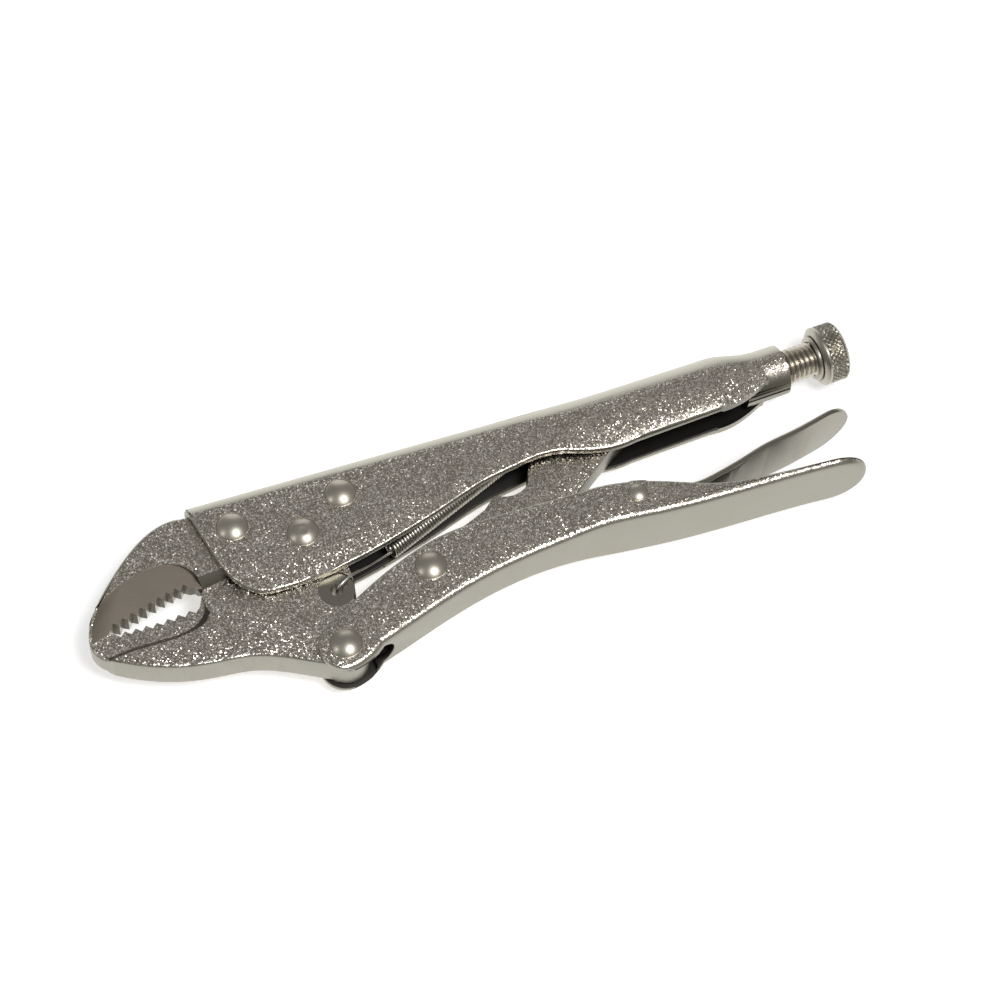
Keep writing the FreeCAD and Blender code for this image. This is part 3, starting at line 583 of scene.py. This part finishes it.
def makeScrew(look):
    low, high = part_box("adjusting_screw")
    pitch = look["pitch"] * mm
    root = look["rootRadius"] * mm
    crest = look["crestRadius"] * mm
    shoulder = crest - look["crestEase"] * mm
    turns = int((high.x - low.x) / pitch) - 1
    profile = [(0.0, root), (0.16, root), (0.42, shoulder), (0.47, crest), (0.57, crest),
               (0.62, shoulder), (0.88, root), (1.0, root)]
    mesh = bpy.data.meshes.new("adjusting_screw_thread")
    mesh.from_pydata([(x * pitch, radius, 0) for x, radius in profile],
                     [(i, i + 1) for i in range(len(profile) - 1)], [])
    piece = bpy.data.objects.new("adjusting_screw_thread", mesh)
    bpy.context.scene.collection.objects.link(piece)
    applyModifier(piece, "SCREW", axis="X", screw_offset=pitch, iterations=turns, steps=look["steps"],
                  render_steps=look["steps"], use_merge_vertices=True, merge_threshold=mergeGap / 2)
    editAll(piece)
    bpy.ops.mesh.remove_doubles(threshold=mergeGap)
    bpy.ops.mesh.select_all(action="SELECT")
    bpy.ops.mesh.fill_holes(sides=0)
    bpy.ops.object.mode_set(mode="OBJECT")
    axis = (low + high) / 2
    place(piece, Matrix.Translation((low.x, axis.y, axis.z)))
    tidySurface(piece, look["creaseAngle"])
    piece.data.materials.append(screwFinish)
    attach(piece, "screw")
    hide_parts("adjusting_screw")


makeScrew(screwLook)
print("screw threaded")


# Adjusting knob: turned, with a diamond knurl behind a smooth band.

knobLook = {
    "around": 34,
    "samples": 10,
    "knurlPitch": 1.5,
    "knurlDepth": 0.6,
    "knurlFade": 0.35,
    "knurlFlat": 0.1,
    "slack": 0.05,
    "smoothBand": 1.9,
    "rows": 32,
    "boreRadius": 5.02,
    "collarRadius": 6.3,
    "collarLength": 0.8,
    "recessRadius": 6.2,
    "creaseAngle": 24,
}


def makeKnob(look):
    low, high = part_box("adjusting_knob")
    centre = (low + high) / 2
    radius = (high.z - low.z) / 2 / mm
    front = look["collarLength"]
    rear = (high.x - low.x) / mm
    bandStart = front + look["smoothBand"]
    bandEnd = rear - 0.75
    rows = look["rows"]
    bore = look["boreRadius"]
    collar = look["collarRadius"]
    profile = [(0.0, bore), (0.0, collar - 0.3), (0.3, collar), (front, collar),
               (front + 0.35, collar - 0.35),
               (front + 0.2, radius - 1.5), (front + 0.45, radius - 1.15),
               (front + 1.1, radius - 0.2), (front + 1.35, radius), (bandStart, radius)]
    profile += [(bandStart + (bandEnd - bandStart) * row / rows, radius) for row in range(1, rows + 1)]
    recess = look["recessRadius"]
    profile += [(rear - 0.2, radius - 0.5), (rear, radius - 0.9), (rear, recess),
                (rear - 0.45, recess - 0.5), (rear - 0.45, bore)]
    mesh = bpy.data.meshes.new("adjusting_knob_knurled")
    mesh.from_pydata([(x * mm, r * mm, 0) for x, r in profile],
                     [(i, (i + 1) % len(profile)) for i in range(len(profile))], [])
    piece = bpy.data.objects.new("adjusting_knob_knurled", mesh)
    bpy.context.scene.collection.objects.link(piece)
    editAll(piece)
    bpy.ops.mesh.spin(steps=look["around"] * look["samples"], angle=2 * math.pi, center=(0, 0, 0),
                      axis=(1, 0, 0), use_auto_merge=True)
    bpy.ops.object.mode_set(mode="OBJECT")
    slack = look["slack"]
    flat = look["knurlFlat"]
    for vertex in piece.data.vertices:
        x, y, z = vertex.co / mm
        if not bandStart + slack < x < bandEnd + slack:
            continue
        reach = math.hypot(y, z)
        across = math.atan2(z, y) / (2 * math.pi) * look["around"]
        along = (x - bandStart) / look["knurlPitch"]
        groove = max(abs(2 * ((across + side * along) % 1) - 1) for side in (1, -1))
        fade = min(1, (x - bandStart) / look["knurlFade"], (bandEnd + slack - x) / look["knurlFade"])
        share = 1 - look["knurlDepth"] * fade * max(0, groove - flat) / (1 - flat) / reach
        vertex.co.y *= share
        vertex.co.z *= share
    place(piece, Matrix.Translation((low.x, centre.y, centre.z)))
    tidySurface(piece, look["creaseAngle"])
    piece.data.materials.append(knobFinish)
    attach(piece, "knob")
    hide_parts("adjusting_knob")


makeKnob(knobLook)
print("knob knurled")


# Tension spring: a close-wound coil with a hook in the jaw and one in the tab.

springLook = {
    "coilRadius": 2.25,
    "wireRadius": 0.42,
    "windingGap": 2.15,
    "coilStart": (20.7, -9.9),
    "coilEnd": (61.8, 4.85),
    "pointsPerTurn": 12,
    "hookFront": [(16.5, -11.6, 0.6), (12.5, -13.4, 2.6), (9.2, -14.9, 4.9), (6.8, -16.0, 5.7),
                  (4.6, -17.0, 5.75), (3.2, -17.6, 5.3), (2.7, -17.9, 4.2), (2.7, -17.9, 2.0)],
    "hookRear": [(65.0, 6.0, 0.0), (68.5, 7.1, 0.2), (71.3, 8.1, 1.5), (72.9, 8.6, 2.2),
                 (74.6, 8.9, 1.4), (75.2, 8.9, 0.0)],
}


def makeSpring(look):
    start = Vector((*look["coilStart"], 0))
    end = Vector((*look["coilEnd"], 0))
    axis = (end - start).normalized()
    side = axis.cross(Vector((0, 0, 1)))
    turns = round((end - start).length / (look["wireRadius"] * look["windingGap"]))
    count = turns * look["pointsPerTurn"]
    coil = []
    for step in range(count + 1):
        angle = 2 * math.pi * step / look["pointsPerTurn"]
        radius = look["coilRadius"] * min(1, 0.2 + step / 8, 0.2 + (count - step) / 8)
        spot = start.lerp(end, step / count)
        coil.append(spot + (side * math.cos(angle) + Vector((0, 0, 1)) * math.sin(angle)) * radius)
    path = [Vector(p) for p in reversed(look["hookFront"])] + coil + [Vector(p) for p in look["hookRear"]]
    curve = bpy.data.curves.new("tension_spring_coil", "CURVE")
    curve.dimensions = "3D"
    curve.bevel_depth = look["wireRadius"] * mm
    curve.bevel_resolution = 2
    curve.use_fill_caps = True
    spline = curve.splines.new("NURBS")
    spline.points.add(len(path) - 1)
    for point, spot in zip(spline.points, path):
        point.co = (*local(*spot), 1)
    spline.order_u = 3
    spline.use_endpoint_u = True
    spline.resolution_u = 2
    wire = bpy.data.objects.new("springPath", curve)
    bpy.context.scene.collection.objects.link(wire)
    bpy.context.view_layer.update()
    mesh = bpy.data.meshes.new_from_object(wire)
    mesh.name = "tension_spring_coil"
    bpy.data.objects.remove(wire)
    piece = bpy.data.objects.new("tension_spring_coil", mesh)
    bpy.context.scene.collection.objects.link(piece)
    tidySurface(piece, 60)
    piece.data.materials.clear()
    piece.data.materials.append(wireFinish)
    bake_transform(piece)
    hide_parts("tension_spring")


makeSpring(springLook)
print("spring wound")


# Studio: a pale floor and soft boxes.

studio = {
    "floorSize": 6,
    "floorColour": (0.88, 0.88, 0.88, 1),
    "floorGlow": 0.5,
    "worldColour": (0.62, 0.62, 0.61, 1),
    "worldStrength": 0.42,
    "softBoxes": [
        # name, direction from the tool, distance, size, power
        ("mainBox", (0.165, -0.36, 0.92), 1.3, 0.4, 9),
        ("sideBox", (-0.9, 0.1, 0.75), 1.3, 0.2, 1),
        ("rearBox", (0.3, 1.0, 0.2), 1.5, 0.9, 2.0),
    ],
}


def addStudio(setup):
    bpy.ops.mesh.primitive_plane_add(size=setup["floorSize"])
    floor = bpy.context.object
    floor.name = "floor"
    shader = Shader("paleFloor")
    glow = setup["floorGlow"]
    floor.data.materials.append(shader.finish(Base_Color=setup["floorColour"], Roughness=0.8,
                                              Emission_Color=(1, 1, 1, 1), Emission_Strength=glow))
    world = bpy.data.worlds.new("softRoom")
    world.use_nodes = True
    ground = world.node_tree.nodes["Background"]
    ground.inputs[0].default_value = setup["worldColour"]
    ground.inputs[1].default_value = setup["worldStrength"]
    bpy.context.scene.world = world
    for name, direction, distance, boxSize, power in setup["softBoxes"]:
        data = bpy.data.lights.new(name, "AREA")
        data.shape = "SQUARE"
        data.size = boxSize
        data.energy = power
        light = bpy.data.objects.new(name, data)
        bpy.context.scene.collection.objects.link(light)
        towards = Vector(direction).normalized()
        light.location = towards * distance
        light.rotation_euler = towards.to_track_quat("Z", "Y").to_euler()


addStudio(studio)
bpy.context.scene.view_settings.view_transform = "Standard"
print("studio set")
